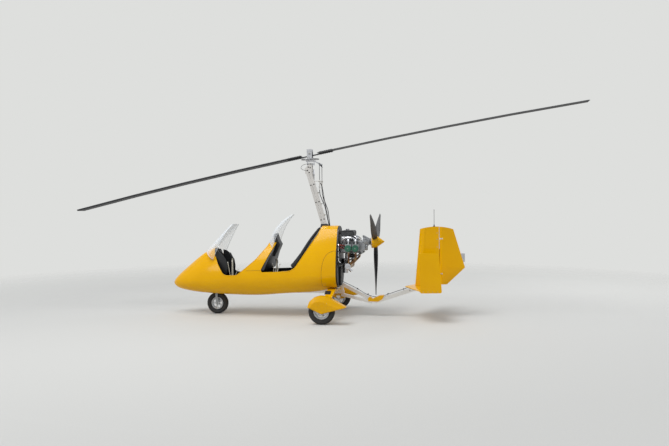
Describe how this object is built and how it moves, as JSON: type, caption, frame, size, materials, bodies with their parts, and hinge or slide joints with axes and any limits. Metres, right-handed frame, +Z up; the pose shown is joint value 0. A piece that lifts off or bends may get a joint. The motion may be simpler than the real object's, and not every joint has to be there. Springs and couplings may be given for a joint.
{
  "type": "gyrocopter",
  "caption": "Open tandem gyrocopter with a teetering rotor on a leaning mast, a pusher engine and propeller, a tricycle gear with spats and a tail on a boom.",
  "frame": {"origin": "on the ground, straight below the rotor's teeter bolt, which is the middle of the overall box", "axes": "+X aft along the parked rotor, +Y to starboard, +Z up"},
  "size_m": [8.4609, 1.772, 3.3097],
  "materials": {
    "yellow_gelcoat": "glossy yellow gelcoat over glass fibre",
    "black_composite": "satin black composite",
    "floor_black": "black textured floor",
    "seat_fabric": "dark woven seat cover",
    "clear_acrylic": "clear acrylic sheet",
    "stainless_steel": "brushed stainless steel",
    "machined_aluminium": "machined aluminium",
    "rotor_black": "extruded aluminium, coated near black",
    "rod_steel": "dull steel",
    "cable_black": "black",
    "green_enamel": "green enamel on cast metal",
    "cast_aluminium": "cast aluminium",
    "grey_paint": "grey paint on steel",
    "tyre_rubber": "black tyre rubber"
  },
  "bodies": {
    "airframe": {"antenna": "cable_black", "axles": "stainless_steel", "cable_bracket": "stainless_steel", "centre_fin": "yellow_gelcoat", "cheek_panels": "yellow_gelcoat", "control_cables": "cable_black", "control_sticks": "machined_aluminium", "crankcase": "machined_aluminium", "cylinders": "cast_aluminium", "divider_fairing": "yellow_gelcoat", "end_fins": "yellow_gelcoat", "engine_mount": "rod_steel", "exhaust": "rod_steel", "firewall": "black_composite", "floor": "floor_black", "front_back_cushion": "seat_fabric", "front_cushion": "seat_fabric", "front_pod": "black_composite", "front_seat_back": "black_composite", "front_windscreen": "clear_acrylic", "gear_bow": "yellow_gelcoat", "gearbox": "machined_aluminium", "hull": "yellow_gelcoat", "intake": "black_composite", "keel": "stainless_steel", "mast": "stainless_steel", "mast_head_plates": "stainless_steel", "oil_tank": "machined_aluminium", "pedals": "machined_aluminium", "radiator": "cable_black", "rear_back_cushion": "seat_fabric", "rear_cushion": "seat_fabric", "rear_pod": "black_composite", "rear_seat_back": "black_composite", "rear_windscreen": "clear_acrylic", "rocker_covers": "green_enamel", "rudder_hinges": "stainless_steel", "saddle_fairing": "yellow_gelcoat", "spats": "yellow_gelcoat", "stabiliser": "yellow_gelcoat", "steering_head": "stainless_steel", "tail_boom": "stainless_steel"},
    "nose_fork": {"nose_fork": "grey_paint"},
    "nose_wheel": {"nose_tyre": "tyre_rubber", "nose_rim": "cast_aluminium"},
    "main_wheel_left": {"main_tyre_left": "tyre_rubber", "main_rim_left": "cast_aluminium"},
    "main_wheel_right": {"main_tyre_right": "tyre_rubber", "main_rim_right": "cast_aluminium"},
    "propeller": {"propeller": "black_composite", "spinner": "yellow_gelcoat"},
    "rudder": {"rudder": "yellow_gelcoat"},
    "gimbal": {"gimbal_block": "machined_aluminium"},
    "rotor_head": {"head_bridge": "machined_aluminium"},
    "rod_left": {"rod_left": "rod_steel"},
    "rod_right": {"rod_right": "rod_steel"},
    "rotor_tower": {"rotor_tower": "machined_aluminium"},
    "rotor": {"hub_bar": "machined_aluminium", "rotor_blades": "rotor_black"}
  },
  "joints": [
    {"name": "nose_steering", "type": "hinge", "parent": "airframe", "child": "nose_fork", "pos_m": [-1.594, 0, 0.4], "axis": [0, 0, 1], "range_deg": [-25, 25]},
    {"name": "nose_wheel_spin", "type": "hinge", "parent": "nose_fork", "child": "nose_wheel", "pos_m": [-1.594, 0, 0.178], "axis": [0, 1, 0], "continuous": true},
    {"name": "main_wheel_left_spin", "type": "hinge", "parent": "airframe", "child": "main_wheel_left", "pos_m": [0.33, -0.8, 0.2], "axis": [0, 1, 0], "continuous": true},
    {"name": "main_wheel_right_spin", "type": "hinge", "parent": "airframe", "child": "main_wheel_right", "pos_m": [0.33, 0.8, 0.2], "axis": [0, 1, 0], "continuous": true},
    {"name": "propeller_spin", "type": "hinge", "parent": "airframe", "child": "propeller", "pos_m": [1.062, 0, 1.203], "axis": [1, 0, 0], "continuous": true},
    {"name": "rudder_hinge", "type": "hinge", "parent": "airframe", "child": "rudder", "pos_m": [2.098, 0, 0.9], "axis": [0, 0, 1], "range_deg": [-25, 25]},
    {"name": "head_pitch", "type": "hinge", "parent": "airframe", "child": "gimbal", "pos_m": [0.015, 0, 2.455], "axis": [0, 1, 0], "range_deg": [0, 18]},
    {"name": "head_roll", "type": "hinge", "parent": "gimbal", "child": "rotor_head", "pos_m": [0.015, 0, 2.455], "axis": [0.9994, 0, 0.0349], "range_deg": [-8, 8]},
    {"name": "rotor_spin", "type": "hinge", "parent": "rotor_head", "child": "rotor_tower", "pos_m": [0, 0, 2.622], "axis": [-0.0349, 0, 0.9994], "continuous": true},
    {"name": "teeter", "type": "hinge", "parent": "rotor_tower", "child": "rotor", "pos_m": [0, 0, 2.622], "axis": [0.0384, 0.9993, 0.0013], "range_deg": [0, 16.8]},
    {"name": "rod_left_slide", "type": "slide", "parent": "airframe", "child": "rod_left", "axis": [0, 0, 1], "range_m": [-0.0505, 0]},
    {"name": "rod_right_slide", "type": "slide", "parent": "airframe", "child": "rod_right", "axis": [0, 0, 1], "range_m": [-0.0505, 0]}
  ],
  "couplings": [
    {"joint": "rudder_hinge", "follows": "nose_steering", "ratio": -1},
    {"joint": "rod_left_slide", "follows": "head_pitch", "m_per_rad": -0.16},
    {"joint": "rod_right_slide", "follows": "head_pitch", "m_per_rad": -0.16}
  ]
}
